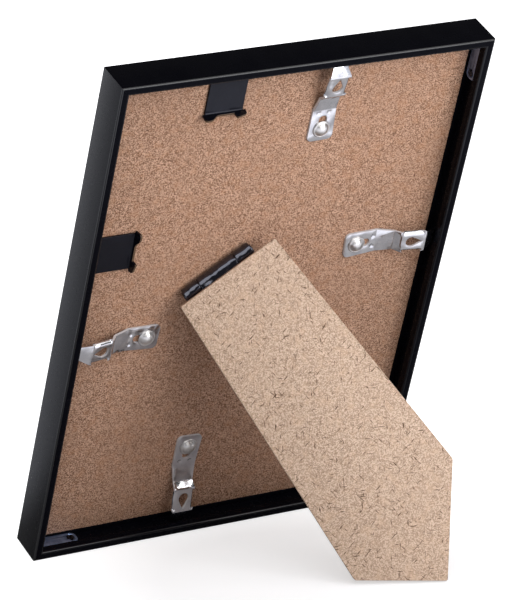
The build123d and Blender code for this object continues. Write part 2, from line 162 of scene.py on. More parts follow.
def lacquer(name, dark, worn, rough, specular, peel, wave=0.0, painted_highlight=None, polished=False):
    """Black lacquer: clouding, dust, uneven gloss and orange peel, on metal that may be wavy. Its marked
    edges get a painted highlight colour in patches, or are polished."""
    finish, tree, shader, place = bare_finish(name)
    colour = blend_colour(tree, cloud(tree, place, scale=0.12), dark, worn)
    colour = blend_colour(tree, cloud(tree, place, scale=2.3, high=0.2, clip=(0.7, 0.8)), colour, DUST_GREY)
    # Painted highlight: the marked edges are coloured in patches toward a light colour.
    if painted_highlight:
        highlight_patches = reckon(tree, "MULTIPLY", marked(tree), cloud(tree, place, scale=0.9, low=0.6))
        colour = blend_colour(tree, highlight_patches, colour, painted_highlight)
    if polished:
        feed(shader, {"Coat Weight": marked(tree), "Coat Roughness": POLISH_ROUGHNESS})
    untrue = bumpy(tree, cloud(tree, place, scale=0.22, detail=1.0), wave, depth=0.0006) if wave else None
    peeled = bumpy(tree, cloud(tree, place, scale=1.6, detail=2.0), peel, depth=0.00004, under=untrue)
    feed(shader, {"Base Color": colour, "Roughness": cloud(tree, place, 0.35, *rough), "Normal": peeled,
                  "Specular IOR Level": specular, "Specular Tint": COOL_GLOSS})
    return finish


MERGE = 0.0005


def fit(bm, name, finish, body, nodes, place=None, soft_angle=35):
    """Stand a drawn piece up in the frame, tie it to its body, and hide the nodes it stands for."""
    place = place or Matrix.Identity(4)
    bmesh.ops.remove_doubles(bm, verts=bm.verts[:], dist=MERGE)
    bmesh.ops.recalc_face_normals(bm, faces=bm.faces[:])
    drawn = bm.verts.layers.float_vector.new("drawn")
    for vert in bm.verts:
        vert[drawn] = vert.co + place.translation
    bmesh.ops.transform(bm, matrix=STAND @ place, verts=bm.verts[:])
    mesh = bpy.data.meshes.new(name)
    bm.to_mesh(mesh)
    bm.free()
    mesh.shade_smooth()
    mesh.set_sharp_from_angle(angle=radians(soft_angle))
    mesh.materials.append(finish)
    piece = bpy.data.objects.new(name, mesh)
    bpy.context.scene.collection.objects.link(piece)
    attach(piece, body)
    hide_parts(*nodes)
    return piece


def laid(right, up, rear, turn):
    """Place on the frame, turned in its plane by so many degrees."""
    return Matrix.Translation((right, up, rear)) @ Matrix.Rotation(radians(turn), 4, "Z")


def everything(bm):
    """All of a mesh, as the cutting operators take it."""
    return bm.verts[:] + bm.edges[:] + bm.faces[:]


def draw_out(bm, faces, way, keep=False):
    """Extrude faces by a vector, keeping the first ones where they close a bar's other end."""
    grown = bmesh.ops.extrude_face_region(bm, geom=faces, use_keep_orig=keep)["geom"]
    bmesh.ops.translate(bm, verts=[item for item in grown if isinstance(item, bmesh.types.BMVert)], vec=way)
    if not keep:
        bmesh.ops.delete(bm, geom=[face for face in faces if face.is_valid], context="FACES")


# Near enough to lie on a cut, near enough to be one place, and straight enough to face along an axis.
HAIR, CLOSE, FACING = 1e-4, 0.01, 0.99


def saw(bm, point, away):
    """Cut a closed bar off at a plane and close the cut."""
    cut = bmesh.ops.bisect_plane(
        bm, geom=everything(bm), dist=HAIR, plane_co=point, plane_no=away, clear_outer=True)
    edges = [item for item in cut["geom_cut"] if isinstance(item, bmesh.types.BMEdge)]
    bmesh.ops.contextual_create(bm, geom=edges)


def round_off(bm, geom, radius, steps=2, affect="EDGES"):
    """Round edges, or the corners of an outline."""
    return bmesh.ops.bevel(
        bm, geom=geom, offset=radius, segments=steps, profile=0.5, affect=affect, material=-1)


def rail_bar(half):
    """One mitred rail: x inward from the outer face, y along it, z rearward from the rim."""
    bm = bmesh.new()
    arris = bm.faces.layers.float.new("arris")
    end = -half - RAIL_OVERCUT
    section = bm.faces.new([bm.verts.new((x, end, z)) for x, z in RAIL_SECTION])
    draw_out(bm, [section], (0, -2 * end, 0), keep=True)
    for radius, gloss, *corners in RAIL_ROUNDS:
        edges = [e for e in bm.edges if e.calc_length() > half
                 and any(hypot(e.verts[0].co.x - x, e.verts[0].co.z - z) < CLOSE for x, z in corners)]
        for face in round_off(bm, edges, radius, steps=4)["faces"]:
            face[arris] = gloss
    bm.normal_update()
    for face in bm.faces:
        if abs(face.normal.x) > FACING and face.calc_center_median().x < OUTER_WALL / 2:
            face[arris] = OUTER_GLOSS
    saw(bm, (0, MITRE_GAP - half, 0), (1, -1, 0))
    saw(bm, (0, half - MITRE_GAP, 0), (1, 1, 0))
    return bm


rail_black = lacquer("rail_black_lacquer", tint(5, 5, 10), tint(9, 9, 14), rough=(0.22, 0.3), specular=0.03,
                     peel=0.1, polished=True)
RAILS = (("bottom", 90, (0, -HALF_H), HALF_W), ("right", 180, (HALF_W, 0), HALF_H),
         ("top", 270, (0, HALF_H), HALF_W), ("left", 0, (-HALF_W, 0), HALF_H))
for side, turn, (right, up), half in RAILS:
    place = laid(right, up, 0, turn)
    fit(rail_bar(half), side + "_rail", rail_black, "frame", ["rail_" + side], place)

# Corner angles: short strips of zinc plated steel bent to a right angle, with rounded ends. Each lies on
# edge in the channels of two rails, and grub screws near its ends press it against them.
ANGLE_T, ANGLE_W, ANGLE_LEG = 1.3, 5.0, 17.2
ANGLE_INNER_R, ANGLE_END_R = 0.5, 2.0
ANGLE_EDGE, ANGLE_EDGE_STEPS = 0.5, 4
SCREW_FROM_END, SCREW_HOLE_R, HOLE_SIDES = 2.4, 1.3, 24
CHANNEL_W = 5.15
ON_EDGE = Matrix(((1, 0, 0, 0), (0, 0, 1, 0), (0, 1, 0, 0), (0, 0, 0, 1)))
ROLLED = (9.0, 0.5, 9.0)


def plated(name, bright, dull, rough, brushed, wave=0.0, metal=1.0, sheared=None):
    """Plated steel: a tone that wanders a little, fine rolling lines, uneven gloss, and marked edges that
    are less of a mirror where they are sheared."""
    finish, tree, shader, place = bare_finish(name)
    colour = blend_colour(tree, cloud(tree, place, scale=0.3), bright, dull)
    lines = cloud(tree, place, scale=1.0, detail=2.0, stretch=ROLLED)
    untrue = bumpy(tree, cloud(tree, place, scale=0.16, detail=1.0), wave, depth=0.0008) if wave else None
    brushing = bumpy(tree, lines, brushed, depth=0.00003, under=untrue)
    if sheared is not None:
        metal = spread(tree, marked(tree), result=(metal, sheared))
    feed(shader, {"Base Color": colour, "Roughness": cloud(tree, place, 0.9, *rough), "Normal": brushing,
                  "Metallic": metal})
    return finish


def side_line(points, radii):
    """Side view of a bent sheet: each bend's start, turn and radius, and each point's place along it."""
    headings = [atan2(b[1] - a[1], b[0] - a[0]) for a, b in zip(points, points[1:])]
    bends, marks, gone = [], [0.0], 0.0
    for i, radius in enumerate(radii):
        turn = (headings[i + 1] - headings[i] + pi) % (2 * pi) - pi
        reach = radius * tan(abs(turn) / 2)
        straight = hypot(points[i + 1][0] - points[i][0], points[i + 1][1] - points[i][1]) - reach
        if i:
            straight -= radii[i - 1] * tan(abs(bends[-1][1]) / 2)
        start = gone + straight
        bends.append((start, turn, radius if turn > 0 else -radius))
        marks.append(start + radius * abs(turn) / 2)
        gone = start + radius * abs(turn)
    last = hypot(points[-1][0] - points[-2][0], points[-1][1] - points[-2][1])
    marks.append(gone + last - radii[-1] * tan(abs(bends[-1][1]) / 2))
    return bends, marks, headings[0], points[0]


def blank(corners, rounds):
    """Outline of a flat sheet, with chosen corners rounded, ready for its holes."""
    bm = bmesh.new()
    verts = [bm.verts.new((x, y, 0)) for x, y in corners]
    bm.faces.new(verts)
    for index, radius in rounds.items():
        round_off(bm, [verts[index]], radius, steps=5, affect="VERTICES")
    bmesh.ops.delete(bm, geom=bm.faces[:], context="FACES_ONLY")
    return bm


def punch(bm, x, y, radius, sides=HOLE_SIDES):
    """Outline of a round hole in a blank."""
    seat = Matrix.Translation((x, y, 0))
    return bmesh.ops.create_circle(bm, segments=sides, radius=radius, matrix=seat)["verts"]


BEND_SPACING = 0.16


def bend_sheet(bm, line, thickness, spacing=BEND_SPACING, press=None):
    """Fill a blank, cut it across at its bends, press it, fold it along its side view and thicken it."""
    bends, _, heading, (x, z) = line
    bmesh.ops.triangle_fill(bm, use_beauty=True, edges=bm.edges[:], normal=(0, 0, 1))
    for start, turn, radius in bends:
        cuts = max(2, round(turn * radius / spacing))
        for step in range(cuts + 1):
            at = start + turn * radius * step / cuts
            bmesh.ops.bisect_plane(
                bm, geom=everything(bm), dist=HAIR, plane_co=(at, 0, 0), plane_no=(1, 0, 0))
    if press:
        press(bm)
    for vert in bm.verts:
        along, across, rise = vert.co
        at_x, at_z, slope = folded(along, bends, heading, x, z)
        vert.co = (at_x - rise * sin(slope), across, at_z + rise * cos(slope))
    if sum(face.normal.z for face in bm.faces) < 0:
        bmesh.ops.reverse_faces(bm, faces=bm.faces[:])
    bm.normal_update()
    bmesh.ops.solidify(bm, geom=bm.faces[:], thickness=thickness)
    return bm


def folded(along, bends, heading, x, z):
    """Where a place along the flat sheet is after folding, and which way the sheet runs there."""
    gone = 0.0
    for start, turn, radius in bends:
        straight = min(along, start) - gone
        x, z = x + straight * cos(heading), z + straight * sin(heading)
        if along <= start:
            return x, z, heading
        share = min((along - start) / (radius * turn), 1.0) * turn
        x += radius * (sin(heading + share) - sin(heading))
        z -= radius * (cos(heading + share) - cos(heading))
        heading, gone = heading + share, start + radius * share
        if abs(share) < abs(turn):
            return x, z, heading
    return x + (along - gone) * cos(heading), z + (along - gone) * sin(heading), heading


SOFTEN_ANGLE = radians(40)


def soften(piece, width, steps=2):
    """Break the sharp edges of a piece."""
    edge = piece.modifiers.new("broken_edges", "BEVEL")
    edge.width = width * MM
    edge.segments = steps
    edge.limit_method = "ANGLE"
    edge.angle_limit = SOFTEN_ANGLE
    edge.use_clamp_overlap = False
    edge.harden_normals = True


angle_line = side_line([(ANGLE_T, ANGLE_LEG), (ANGLE_T, ANGLE_T), (ANGLE_LEG, ANGLE_T)], [ANGLE_INNER_R])
zinc = plated("blue_zinc", tint(146, 168, 206), tint(104, 124, 164), rough=(0.3, 0.38), brushed=0.12,
              wave=0.2, metal=0.9)


def angle_strip():
    """Corner angle with its outer corner at the origin and its legs along x and y."""
    length = angle_line[1][-1]
    corners = [(0, 0), (length, 0), (length, ANGLE_W), (0, ANGLE_W)]
    bm = blank(corners, dict.fromkeys(range(4), ANGLE_END_R))
    for at in (SCREW_FROM_END, length - SCREW_FROM_END):
        punch(bm, at, ANGLE_W / 2, SCREW_HOLE_R)
    bend_sheet(bm, angle_line, ANGLE_T)
    bmesh.ops.transform(bm, matrix=ON_EDGE, verts=bm.verts[:])
    return bm


CORNERS = {"bottom_left": (-1, -1, 0), "bottom_right": (1, -1, 90),
           "top_right": (1, 1, 180), "top_left": (-1, 1, 270)}
corner_places = {}
for corner, (right, up, turn) in CORNERS.items():
    mid_channel = BOARD_FACE + (CHANNEL_W - ANGLE_W) / 2
    place = laid(right * (HALF_W - OUTER_WALL), up * (HALF_H - OUTER_WALL), mid_channel, turn)
    corner_places[corner] = place
    strip = fit(angle_strip(), corner + "_angle", zinc, "frame",
                ["corner_angle_" + corner], place)
    soften(strip, ANGLE_EDGE, ANGLE_EDGE_STEPS)

# Grub screws: slotted steel screws, dark plated, turned down through the ends of each angle on to the
# wall of the rail. Two hold each corner.
SCREW_R, SCREW_SIDES, SCREW_PROUD, SCREW_EDGE = 1.22, 32, 0.15, 0.1
SLOT_W, SLOT_DEPTH = 0.45, 0.6
screw_steel = plated("dark_screw_steel", tint(72, 72, 80), tint(48, 48, 56), rough=(0.22, 0.34),
                     brushed=0.3)


def grub_screw():
    """Screw that stands on the rail's wall, with a slot right across its top."""
    bm = bmesh.new()
    bmesh.ops.create_circle(bm, cap_ends=True, segments=SCREW_SIDES, radius=SCREW_R)
    for wall in (-SLOT_W / 2, SLOT_W / 2):
        bmesh.ops.bisect_plane(
            bm, geom=everything(bm), dist=HAIR, plane_co=(wall, 0, 0), plane_no=(1, 0, 0))
    bm.normal_update()
    slot_floor = ANGLE_T + SCREW_PROUD - SLOT_DEPTH
    draw_out(bm, bm.faces[:], (0, 0, slot_floor), keep=True)
    bm.normal_update()
    lands = [f for f in bm.faces if abs(f.normal.z) > FACING and f.calc_center_median().z > slot_floor / 2
             and abs(f.calc_center_median().x) > SLOT_W / 2]
    draw_out(bm, lands, (0, 0, SLOT_DEPTH))
    return bm


def join(bm, other, matrix):
    """Add a drawn shape to a mesh at a place."""
    bmesh.ops.transform(other, matrix=matrix, verts=other.verts[:])
    held = bpy.data.meshes.new("held")
    other.to_mesh(held)
    other.free()
    bm.from_mesh(held)
    bpy.data.meshes.remove(held)


def pair_of_screws():
    """The two screws of a corner, one through each leg of the angle."""
    at, middle = ANGLE_LEG - SCREW_FROM_END, ANGLE_W / 2
    both = bmesh.new()
    for axis, spin, seat in (("X", -90, (at, 0, middle)), ("Y", 90, (0, at, middle))):
        join(both, grub_screw(), Matrix.Translation(seat) @ Matrix.Rotation(radians(spin), 4, axis))
    return both


for corner, place in corner_places.items():
    screws = fit(pair_of_screws(), corner + "_screws", screw_steel, "frame",
                 ["corner_screws_" + corner], place)
    soften(screws, SCREW_EDGE)

# Glass: a pane of clear float glass with ground edges, laid against the lip from behind. It and the
# sheets behind it are cut to the picture size, 13 x 18 cm, and drop into the rebate with a little play.
INSERT_HALF_W, INSERT_HALF_H = 65.0, 90.0
GLASS_EDGE, GLASS_ALPHA, GLASS_IOR = 0.25, 0.16, 1.5


def cut_sheet(low, thickness, edge):
    """Flat sheet of the picture size with its edges broken."""
    bm = bmesh.new()
    bmesh.ops.create_cube(bm, size=2.0)
    bmesh.ops.scale(bm, vec=(INSERT_HALF_W, INSERT_HALF_H, thickness / 2), verts=bm.verts[:])
    bmesh.ops.translate(bm, vec=(0, 0, low + thickness / 2), verts=bm.verts[:])
    round_off(bm, bm.edges[:], edge)
    return bm


def float_glass():
    """Clear glass with a slight green cast and a few wiping marks in its gloss."""
    finish, tree, shader, place = bare_finish("clear_float_glass")
    colour = blend_colour(tree, cloud(tree, place, scale=0.03), tint(244, 251, 248), tint(238, 249, 244))
    wiped = cloud(tree, place, scale=0.06, high=0.06)
    feed(shader, {"Base Color": colour, "Roughness": wiped, "Alpha": GLASS_ALPHA, "IOR": GLASS_IOR})
    return finish


glass_back = BOARD_FACE - BOARD_T - SHEET_T - GLASS_T
fit(cut_sheet(glass_back, GLASS_T, GLASS_EDGE), "glass", float_glass(), "frame", ["glass_pane"])

# Picture sheet: plain off-white paper, as the frame is sold or stored without a picture. It lies
# between the glass and the board, just clear of the glass.
SHEET_AIR, SHEET_EDGE = 0.04, 0.03


def plain_paper():
    """Uncoated paper with a faint fibre tone and tooth."""
    finish, tree, shader, place = bare_finish("plain_paper")
    fibre = cloud(tree, place, scale=1.4, detail=5.0)
    colour = blend_colour(tree, fibre, tint(236, 234, 228), tint(226, 223, 215))
    tooth = bumpy(tree, fibre, strength=0.15, depth=0.00004)
    matt = cloud(tree, place, scale=0.8, low=0.75, high=0.9)
    feed(shader, {"Base Color": colour, "Roughness": matt, "Normal": tooth})
    return finish


paper = cut_sheet(glass_back + GLASS_T + SHEET_AIR, SHEET_T - SHEET_AIR, SHEET_EDGE)
fit(paper, "blank_picture", plain_paper(), "frame", ["picture_sheet"])

# Backing board: 2 mm hardboard, pressed from wood fibre, with its smooth brown face to the rear. It
# closes the pack, and carries the rivets of the four clips and of the strut hinge.
BOARD_EDGE = 0.25
FLECK_TURNS = (12, 57, 101, 149)
FLECK_SPREAD = (3.4, 0.5, 2.0)
BOARD_SPECULAR = 0.15


def hardboard(name, light, middle, dark, warm, fleck, fleck_clip, rough):
    """Pressed fibre board: mottle, slow clouding, warm patches, dark grains, and fibres lying every way."""
    finish, tree, shader, place = bare_finish(name)
    mottle = cloud(tree, place, scale=2.6, detail=1.0, clip=(0.38, 0.62))
    layers = [
        (middle, cloud(tree, place, scale=0.035, high=0.35, detail=2.0)),
        (warm, cloud(tree, place, scale=0.28, high=0.4, clip=(0.5, 0.68))),
        (dark, cloud(tree, place, scale=2.1, high=0.7, detail=1.0, clip=(0.62, 0.72))),
    ]
    for turn in FLECK_TURNS:
        lying = cloud(tree, place, scale=1.0, detail=1.0, stretch=FLECK_SPREAD, turn=turn, clip=fleck_clip)
        layers.append((fleck, lying))
    colour = blend_colour(tree, mottle, dark, light)
    for stain, share in layers:
        colour = blend_colour(tree, share, colour, stain)
    feed(shader, {"Base Color": colour, "Roughness": cloud(tree, place, 0.5, *rough),
                  "Normal": bumpy(tree, mottle, strength=0.35, depth=0.00006),
                  "Specular IOR Level": BOARD_SPECULAR})
    return finish


brown_board = hardboard("brown_hardboard", tint(214, 175, 150), tint(170, 132, 108), tint(114, 78, 57),
                        warm=tint(182, 134, 102), fleck=tint(92, 60, 44), fleck_clip=(0.71, 0.79),
                        rough=(0.5, 0.68))
fit(cut_sheet(BOARD_FACE - BOARD_T, BOARD_T, BOARD_EDGE), "board", brown_board, "frame",
    ["backing_board"])

# Turn clips: strips of nickel plated sheet steel, pressed with a ramp, a step and a raised tab with turned
# down sides and a teardrop hole. Each turns on its rivet, and its tip slides under the band of a rail.
CLIP_T = 0.8
CLIP_BACK, CLIP_BEND, CLIP_RAMP_END = 4.4, 7.4, 13.1
CLIP_TAB_START, CLIP_TAB_END, CLIP_TIP = 14.8, 23.2, 28.7
CLIP_RAMP_RISE, CLIP_STEP_RISE, CLIP_TAB_RISE, CLIP_TIP_RISE = 1.8, 4.1, 5.75, 3.35
CLIP_BEND_R = (0.8, 0.6, 1.4, 1.5)
CLIP_WIDTHS = (9.4, 8.6, 7.3, 7.7, 7.7, 3.6)
CLIP_END_R, CLIP_TIP_R = 1.8, 0.9
FLANGE_R, FLANGE_TURN, FLANGE_WALL, FLANGE_CUTS = 1.35, radians(62), 0.5, 4
FLANGE_RUN, RUN_CUTS = 0.6, 3
RIVET_SLOT, RIVET_SLOT_R = 3.5, 1.55
TEAR_R, TEAR_FROM_STEP, TEAR_LENGTH, TEAR_SIDES = 1.9, 3.65, 4.15, 32
PIP_AT, PIP_SPREAD, PIP_R, PIP_DEPTH, PIP_CUTS = 6.2, 3.9, 0.85, 0.32, 3
SLIVER, PRESS_HAIR = 0.06, 1e-3
RIM_ANGLE, RIM_REARWARD, CLIP_EDGE = radians(50), 0.2, 0.05
SHEARED_SLOPE, SHEARED_METAL = 0.4, 0.25
clip_line = side_line([
    (-CLIP_BACK, CLIP_T), (CLIP_BEND, CLIP_T), (CLIP_RAMP_END, CLIP_RAMP_RISE + CLIP_T),
    (CLIP_TAB_START, CLIP_STEP_RISE + CLIP_T), (CLIP_TAB_END, CLIP_TAB_RISE + CLIP_T),
    (CLIP_TIP, CLIP_TIP_RISE + CLIP_T),
], CLIP_BEND_R)
nickel = plated("bright_nickel", tint(215, 214, 216), tint(191, 190, 194), rough=(0.12, 0.2), brushed=0.08,
                wave=0.3, sheared=SHEARED_METAL)


def clip_holes(bm, step):
    """Rivet slot in the base and teardrop hole in the tab."""
    slot = punch(bm, CLIP_BACK, 0, RIVET_SLOT_R)
    bmesh.ops.translate(bm, verts=[v for v in slot if v.co.x > CLIP_BACK + CLOSE], vec=(RIVET_SLOT, 0, 0))
    middle = step + TEAR_FROM_STEP
    tear = punch(bm, middle, 0, TEAR_R, TEAR_SIDES)
    touch = TEAR_R ** 2 / TEAR_LENGTH
    nose = [v for v in tear if v.co.x > middle + touch]
    tip = max(nose, key=lambda v: v.co.x)
    side = sqrt(TEAR_R ** 2 - touch ** 2)
    for vert in nose:
        share = (vert.co.x - middle - touch) / (tip.co.x - middle - touch) if vert is not tip else 1.0
        vert.co.y = (1 if vert.co.y > 0 else -1) * side * (1 - share)
        vert.co.x = middle + touch + share * (TEAR_LENGTH - touch)


def cut_lines(bm, places, across, reach):
    """Cut a flat sheet along lines, over a reach of its length, so that it can be pressed there."""
    for place in places:
        near = [face for face in bm.faces if reach[0] < face.calc_center_median().x < reach[1]]
        parts = dict.fromkeys(part for face in near for part in (*face.verts, *face.edges, face))
        point = [place * part for part in across]
        bmesh.ops.bisect_plane(bm, geom=list(parts), dist=PRESS_HAIR, plane_co=point, plane_no=across)


def turn_clip():
    """Clip with its rivet at the origin, lying on the board and pointing along x."""
    bends, marks = clip_line[:2]
    tab = CLIP_WIDTHS[3] / 2
    crease = tab - FLANGE_R * sin(FLANGE_TURN) - FLANGE_WALL * cos(FLANGE_TURN)
    low = bends[2][0] + bends[2][1] * bends[2][2] + FLANGE_RUN
    high = bends[3][0] - FLANGE_RUN
    lip = crease + FLANGE_R * FLANGE_TURN + FLANGE_WALL
    sides = [(at, width / 2) for at, width in zip(marks, CLIP_WIDTHS)]
    # The tab is cut wider between its ends, where its sides are rolled down.
    sides[4:4] = [(low - FLANGE_RUN, tab), (low, lip), (high, lip), (high + FLANGE_RUN, tab)]
    corners = sides + [(at, -side) for at, side in sides[::-1]]
    last = len(corners) - 1
    rounds = {0: CLIP_END_R, last: CLIP_END_R, len(sides) - 1: CLIP_TIP_R, len(sides): CLIP_TIP_R}

    def press(flat):
        """Roll both sides of the tab down, and cut the lines that the two pips are sunk on."""
        runs = [end + run * step / RUN_CUTS for end, run in ((low, -FLANGE_RUN), (high, FLANGE_RUN))
                for step in range(RUN_CUTS + 1)]
        steps = [crease + FLANGE_R * FLANGE_TURN * step / FLANGE_CUTS for step in range(FLANGE_CUTS + 1)]
        tab_reach = (low - FLANGE_RUN, high + FLANGE_RUN)
        cut_lines(flat, runs, (1, 0, 0), tab_reach)
        cut_lines(flat, [side * step for side in (-1, 1) for step in steps], (0, 1, 0), tab_reach)
        rows = [PIP_R * step / PIP_CUTS for step in range(-PIP_CUTS, PIP_CUTS + 1)]
        pip = CLIP_BACK + PIP_AT
        pip_reach = (pip - PIP_R, pip + PIP_R)
        cut_lines(flat, pip_reach, (1, 0, 0), (0, bends[0][0]))
        cut_lines(flat, [pip + row for row in rows], (1, 0, 0), pip_reach)
        both = [side * PIP_SPREAD / 2 + row for side in (-1, 1) for row in rows]
        cut_lines(flat, both, (0, 1, 0), pip_reach)
        bmesh.ops.remove_doubles(flat, verts=flat.verts[:], dist=SLIVER)
        for vert in flat.verts:
            over = abs(vert.co.y) - crease
            share = min(vert.co.x - low, high - vert.co.x) / FLANGE_RUN + 1
            if over > HAIR and share > 0:
                turn = min(over / FLANGE_R, min(share, 1) * FLANGE_TURN)
                straight = over - FLANGE_R * turn
                side = crease + FLANGE_R * sin(turn) + straight * cos(turn)
                vert.co.y = side if vert.co.y > 0 else -side
                vert.co.z = -FLANGE_R * (1 - cos(turn)) - straight * sin(turn)

    bm = blank(corners, rounds)
    clip_holes(bm, marks[3])
    bend_sheet(bm, clip_line, CLIP_T, press=press)
    bmesh.ops.recalc_face_normals(bm, faces=bm.faces[:])
    bm.normal_update()
    rim = [e for e in bm.edges if e.calc_face_angle() > RIM_ANGLE
           and len({face.normal.z > RIM_REARWARD for face in e.link_faces}) == 2]
    round_off(bm, rim, CLIP_EDGE)
    sheared = bm.faces.layers.float.new("arris")
    for face in bm.faces:
        face[sheared] = abs(face.normal.z) < SHEARED_SLOPE and face.calc_center_median().x < CLIP_TAB_END
    for vert in bm.verts:
        from_pip = hypot(vert.co.x - PIP_AT, abs(vert.co.y) - PIP_SPREAD / 2) / PIP_R
        if from_pip < 1 and abs(vert.co.z - CLIP_T) < CLOSE:
            vert.co.z -= PIP_DEPTH * (1 - from_pip ** 2)
    return bm


RIVETS = {"top": (13.5, 61.8, 91.7), "right": (37.6, 12.5, 3.8),
          "bottom": (-11.7, -61.9, 267.8), "left": (-36.7, -12.2, 177.3)}
CLIP_AIR = 0.03
rivet_places = {}
for side, (right, up, turn) in RIVETS.items():
    rivet_places[side] = laid(right, up, BOARD_FACE, turn)
    lifted = rivet_places[side] @ Matrix.Translation((0, 0, CLIP_AIR))
    fit(turn_clip(), side + "_clip", nickel, "clip_" + side, ["turn_clip_" + side], lifted)

# Clip rivets: nickel plated dome rivets, closed through the board from behind. The clip turns under the
# head, which stands just clear of it.
DOME_R, DOME_H, HEAD_CLEAR, RIVET_SHANK_R = 3.1, 1.75, 0.05, 1.45
CROWN_R, CROWN_H = 2.45, 1.3
BRIM = ((2.53, -0.04), (2.7, 0.05), (2.9, -0.02), (DOME_R, -0.22))
DOME_STEPS, ROUND_STEPS, DOME_SOFT_ANGLE, SHANK_SIDES = 8, 40, 50, 24
rivet_nickel = plated("rivet_nickel", tint(214, 211, 208), tint(190, 187, 185), rough=(0.32, 0.4),
                      brushed=0.08, wave=0.1)


def dome(radius, height, base, outer):
    """Round head: an arc turned about its axis, then the points of its brim and a flat underside."""
    bm = bmesh.new()
    ball = (radius ** 2 + height ** 2) / (2 * height)
    pole = bm.verts.new((0, 0, base + height))
    arc = bmesh.ops.spin(bm, geom=[pole], cent=(0, 0, base + height - ball), axis=(0, 1, 0),
                         angle=asin(radius / ball), steps=DOME_STEPS)
    last = arc["geom_last"][0]
    for x, z in outer:
        point = bm.verts.new((x, 0, z))
        bm.edges.new((last, point))
        last = point
    bmesh.ops.spin(bm, geom=bm.verts[:] + bm.edges[:], cent=(0, 0, 0), axis=(0, 0, 1), angle=2 * pi,
                   steps=ROUND_STEPS, use_merge=True)
    bmesh.ops.remove_doubles(bm, verts=bm.verts[:], dist=MERGE)
    return bm


def rod(radius, length, sides):
    """Round bar along z, with its middle at the origin."""
    bm = bmesh.new()
    bmesh.ops.create_cone(bm, cap_ends=True, segments=sides, radius1=radius, radius2=radius, depth=length)
    return bm


def dome_rivet():
    """Dome head with a rolled brim, and its shank through the clip and the board."""
    seat = CLIP_T + HEAD_CLEAR
    crown = seat + DOME_H - CROWN_H
    brim = [(radius, crown + rise) for radius, rise in BRIM]
    bm = dome(CROWN_R, CROWN_H, crown, brim + [(DOME_R, seat), (0, seat)])
    reach = seat + BOARD_T
    shank = rod(RIVET_SHANK_R, reach, SHANK_SIDES)
    join(bm, shank, Matrix.Translation((0, 0, reach / 2 - BOARD_T)))
    return bm


for side, place in rivet_places.items():
    fit(dome_rivet(), side + "_clip_rivet", rivet_nickel, "frame",
        ["clip_rivet_" + side], place, DOME_SOFT_ANGLE)

# Hangers: black lacquered sheet steel plates, one at the top rail and one at the left, for hanging the
# frame either way. One end is hooked up into the rail's channel, and a toothed lip stands at the other.
HANGER_T, HANGER_EDGE = 0.8, 0.12
HANGER_HALF_W, HANGER_FREE, HOOK_AT, HOOK_TOP = 6.85, 19.4, 2.3, 4.85
HANGER_LIP, HANGER_LIP_LEAN, HANGER_EAR = 3.0, radians(80), 0.9
HANGER_BEND_R = (0.5, 0.7)
NOTCH_LEFT, NOTCH_RIGHT, NOTCH_DEPTH, NOTCH_R = -2.7, 3.4, 2.0, 0.9
HORN_END, HORN_R, TOOTH_AT, TOOTH_R, EAR_DROP, EAR_R = -5.3, 1.0, 3.8, 0.4, 1.1, 0.8
LIP_OUTWARD, LIP_REARWARD = 0.05, 0.3
hanger_line = side_line([
    (HOOK_AT, HOOK_TOP), (HOOK_AT, HANGER_T), (HANGER_FREE, HANGER_T),
    (HANGER_FREE + HANGER_LIP * cos(HANGER_LIP_LEAN), HANGER_T + HANGER_LIP * sin(HANGER_LIP_LEAN)),
], HANGER_BEND_R)
# The lip's rim gets a painted highlight: light brown, like the board's reflection in it.
hanger_black = lacquer("hanger_black_lacquer", tint(8, 8, 14), tint(13, 13, 20), rough=(0.16, 0.26),
                       specular=0.2, peel=0.12, wave=0.12, painted_highlight=tint(104, 82, 62))


def hanger(mirror):
    """Hanger with its hook near the rail's outer face, its plate on the board and its lip at the end."""
    fold, end = hanger_line[1][2], hanger_line[1][3]
    ear, notch = HANGER_HALF_W + HANGER_EAR, end - NOTCH_DEPTH
    corners = [
        (0, -HANGER_HALF_W), (fold, -HANGER_HALF_W), (fold, -ear), (end, -ear),
        (end, HORN_END), (notch, NOTCH_LEFT), (notch, NOTCH_RIGHT), (end, TOOTH_AT),
        (end - EAR_DROP, ear), (fold, ear), (fold, HANGER_HALF_W), (0, HANGER_HALF_W),
    ]
    rounds = {3: EAR_R, 4: HORN_R, 5: NOTCH_R, 7: TOOTH_R, 8: EAR_R}
    bm = bend_sheet(blank(corners, rounds), hanger_line, HANGER_T)
    bmesh.ops.scale(bm, vec=(1, mirror, 1), verts=bm.verts[:])
    bmesh.ops.recalc_face_normals(bm, faces=bm.faces[:])
    bm.normal_update()
    # The lip's rim faces are marked for the painted highlight.
    arris = bm.faces.layers.float.new("arris")
    for face in bm.faces:
        on_lip = face.calc_center_median().x > HANGER_FREE / 2
        face[arris] = on_lip and face.normal.x > LIP_OUTWARD and face.normal.z > LIP_REARWARD
    return bm


HANGERS = (("top", (-24.8, HALF_H), -90, 1), ("left", (-HALF_W, 24.2), 0, -1))
for side, (right, up), turn, mirror in HANGERS:
    place = laid(right, up, BOARD_FACE, turn)
    plate = fit(hanger(mirror), side + "_hanger", hanger_black, "frame",
                ["hanger_" + side], place)
    soften(plate, HANGER_EDGE)

